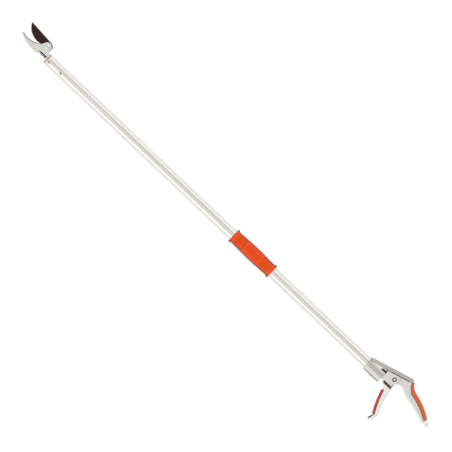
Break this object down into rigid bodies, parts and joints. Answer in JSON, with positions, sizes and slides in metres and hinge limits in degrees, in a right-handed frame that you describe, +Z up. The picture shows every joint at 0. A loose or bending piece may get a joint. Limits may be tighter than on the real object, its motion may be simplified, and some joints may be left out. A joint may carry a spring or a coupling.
{
  "type": "long-reach tree pruner",
  "caption": "Long-reach pruner: an aluminium pole with a trigger handle that pulls a rod and closes a bypass blade on a hook, with soft grips.",
  "frame": {"origin": "middle of the part's box on the floor, with the tool lying flat on its side as in the picture", "axes": "+X along the pole from the cutting head to the handle, +Y to the side of the spine and blade, +Z up, square to the plane of the cut"},
  "size_m": [1.1994, 0.1277, 0.032],
  "materials": {
    "tube_metal": "satin anodised",
    "cast_metal": "satin cast",
    "blade_coat": "dark non-stick coating",
    "orange_rubber": "matt soft grip",
    "orange_plastic": "matt",
    "steel": "zinc plated",
    "rivet_steel": "dull",
    "spring_steel": "oil-blued wire",
    "black_nylon": "moulded"
  },
  "bodies": {
    "pole": {"tube": "tube_metal", "tube_collar": "orange_plastic", "mid_grip": "orange_rubber", "rod_guides": "black_nylon", "rear_bush": "black_nylon", "head_casting": "cast_metal", "head_rivets": "rivet_steel", "blade_pivot_bolt": "steel", "blade_pivot_nut": "steel", "blade_washer": "steel", "handle_frame": "cast_metal", "handle_screw": "steel", "rear_grip": "orange_rubber", "trigger_pivot_bolt": "steel", "trigger_pivot_nut": "steel", "trigger_washers": "black_nylon"},
    "blade": {"cutting_blade": "blade_coat", "blade_link_pin": "steel"},
    "rod": {"pull_rod": "steel", "front_fork": "steel", "rear_eye": "steel", "rod_lock_nut": "steel", "return_spring": "spring_steel"},
    "trigger": {"trigger": "cast_metal", "trigger_pad": "orange_rubber", "trigger_link_pin": "steel"}
  },
  "joints": [
    {"name": "trigger_hinge", "type": "hinge", "parent": "pole", "child": "trigger", "pos_m": [0.48074, 0.035, 0.016], "axis": [0, 0, 1], "range_deg": [0, 37.5], "stiffness_Nm_per_rad": 0.17, "springref_deg": -49.27},
    {"name": "rod_slide", "type": "slide", "parent": "pole", "child": "rod", "axis": [1, 0, 0], "range_m": [0, 0.00913], "deforming": ["return_spring"]},
    {"name": "blade_hinge", "type": "hinge", "parent": "pole", "child": "blade", "pos_m": [-0.54076, 0.0405, 0.016], "axis": [0, 0, 1], "range_deg": [0, 26.7]}
  ],
  "couplings": [
    {"joint": "rod_slide", "follows": "trigger_hinge", "m_per_rad": 0.013947},
    {"joint": "blade_hinge", "follows": "trigger_hinge", "ratio": 0.71094}
  ]
}
